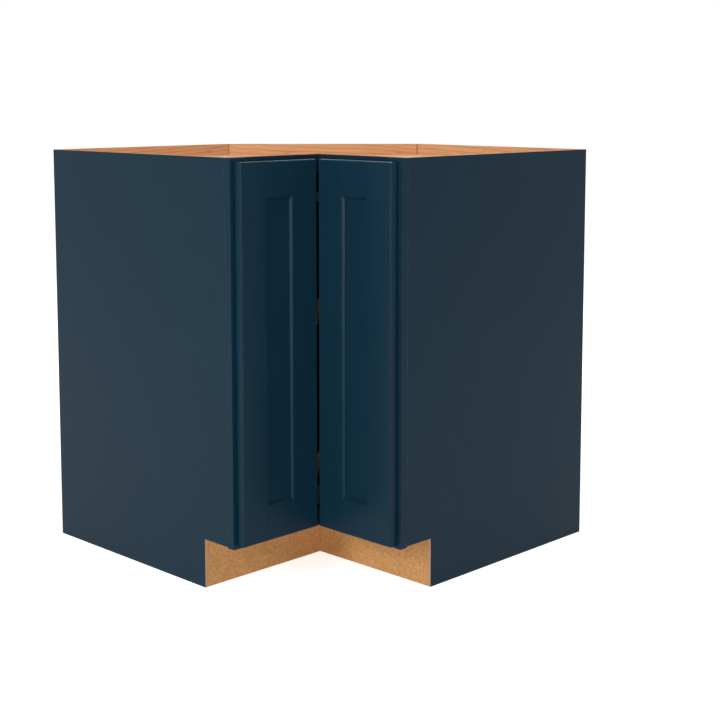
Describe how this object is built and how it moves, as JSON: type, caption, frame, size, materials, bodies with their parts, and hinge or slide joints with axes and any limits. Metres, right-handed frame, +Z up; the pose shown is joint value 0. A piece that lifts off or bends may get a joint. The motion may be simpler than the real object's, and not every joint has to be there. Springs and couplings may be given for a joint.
{
  "type": "corner carousel cabinet",
  "caption": "L-shaped corner base cabinet with a bi-fold pair of recessed-panel doors, toe space and pie-cut trays turning on a centre post.",
  "frame": {"origin": "centre of the cabinet's bounding box in plan, at the floor", "axes": "+Z up; the room's corner is towards -X and +Y, and the two door openings face +X and -Y"},
  "size_m": [0.838, 0.838, 0.876],
  "materials": {
    "painted_wood": "satin dark blue paint over wood, very faint brush and grain texture",
    "maple_ply": "clear coated maple plywood",
    "chipboard": "raw particleboard, flat",
    "hinge_steel": "nickel plated steel, satin",
    "fold_hinge_steel": "blackened steel, satin",
    "post_chrome": "bright chrome",
    "black_plastic": "moulded, matt",
    "white_plastic": "moulded, satin",
    "bumper_rubber": "soft clear grey"
  },
  "bodies": {
    "case": {"end_panel_left": "painted_wood", "end_panel_right": "painted_wood", "back_panel_left": "maple_ply", "back_panel_right": "maple_ply", "back_panel_diagonal": "maple_ply", "floor_panel": "maple_ply", "top_panel": "maple_ply", "toe_kick_left": "chipboard", "toe_kick_right": "chipboard", "frame_stile_left": "painted_wood", "frame_stile_right": "painted_wood", "top_rail_left": "painted_wood", "top_rail_right": "painted_wood", "bottom_rail_left": "painted_wood", "bottom_rail_right": "painted_wood", "hang_rail_left": "maple_ply", "hang_rail_right": "maple_ply", "post_base": "hinge_steel", "post_lower_tube": "post_chrome", "post_upper_tube": "post_chrome", "post_clamp": "black_plastic", "post_top_bracket": "hinge_steel", "tray_upper_collar": "hinge_steel", "hinge_plate_lower": "hinge_steel", "hinge_plate_upper": "hinge_steel", "magnetic_catch": "white_plastic"},
    "leaf_left": {"door_left_stile_outer": "painted_wood", "door_left_stile_inner": "painted_wood", "door_left_rail_top": "painted_wood", "door_left_rail_bottom": "painted_wood", "door_left_panel": "painted_wood", "hinge_cup_lower": "hinge_steel", "hinge_cup_upper": "hinge_steel", "fold_hinge_lower_left": "fold_hinge_steel", "fold_hinge_upper_left": "fold_hinge_steel"},
    "leaf_right": {"door_right_stile_outer": "painted_wood", "door_right_stile_inner": "painted_wood", "door_right_rail_top": "painted_wood", "door_right_rail_bottom": "painted_wood", "door_right_panel": "painted_wood", "fold_hinge_lower_right": "fold_hinge_steel", "fold_hinge_upper_right": "fold_hinge_steel", "catch_strike": "hinge_steel", "bumper_lower": "bumper_rubber", "bumper_upper": "bumper_rubber"},
    "hinge_cranks": {"hinge_crank_lower": "hinge_steel", "hinge_crank_upper": "hinge_steel"},
    "hinge_arms": {"hinge_arm_lower": "hinge_steel", "hinge_arm_upper": "hinge_steel"},
    "tray_lower": {"tray_lower_floor": "maple_ply", "tray_lower_back_rim": "maple_ply", "tray_lower_front_rim": "maple_ply", "tray_lower_hub": "white_plastic"},
    "tray_upper": {"tray_upper_floor": "maple_ply", "tray_upper_back_rim": "maple_ply", "tray_upper_front_rim": "maple_ply", "tray_upper_hub": "white_plastic"}
  },
  "joints": [
    {"name": "door_swing", "type": "hinge", "parent": "case", "child": "leaf_left", "pos_m": [0.198, -0.41, 0.487], "axis": [0, 0, -1], "range_deg": [0, 110]},
    {"name": "door_fold", "type": "hinge", "parent": "leaf_left", "child": "leaf_right", "pos_m": [0.201, -0.201, 0.487], "axis": [0, 0, 1], "range_deg": [0, 55]},
    {"name": "hinge_crank_turn", "type": "hinge", "parent": "case", "child": "hinge_cranks", "pos_m": [0.173, -0.369, 0.487], "axis": [0, 0, -1], "range_deg": [0, 110]},
    {"name": "hinge_arm_turn", "type": "hinge", "parent": "hinge_cranks", "child": "hinge_arms", "pos_m": [0.166, -0.343, 0.487], "axis": [0, 0, 1], "range_deg": [0, 110]},
    {"name": "tray_lower_spin", "type": "hinge", "parent": "case", "child": "tray_lower", "pos_m": [-0.02897, 0.02897, 0.168], "axis": [0, 0, 1], "continuous": true},
    {"name": "tray_upper_spin", "type": "hinge", "parent": "case", "child": "tray_upper", "pos_m": [-0.02897, 0.02897, 0.508], "axis": [0, 0, 1], "continuous": true}
  ],
  "couplings": [
    {"joint": "door_fold", "follows": "door_swing", "ratio": 0.5},
    {"joint": "hinge_crank_turn", "follows": "door_swing", "ratio": 1},
    {"joint": "hinge_arm_turn", "follows": "door_swing", "ratio": 1}
  ]
}
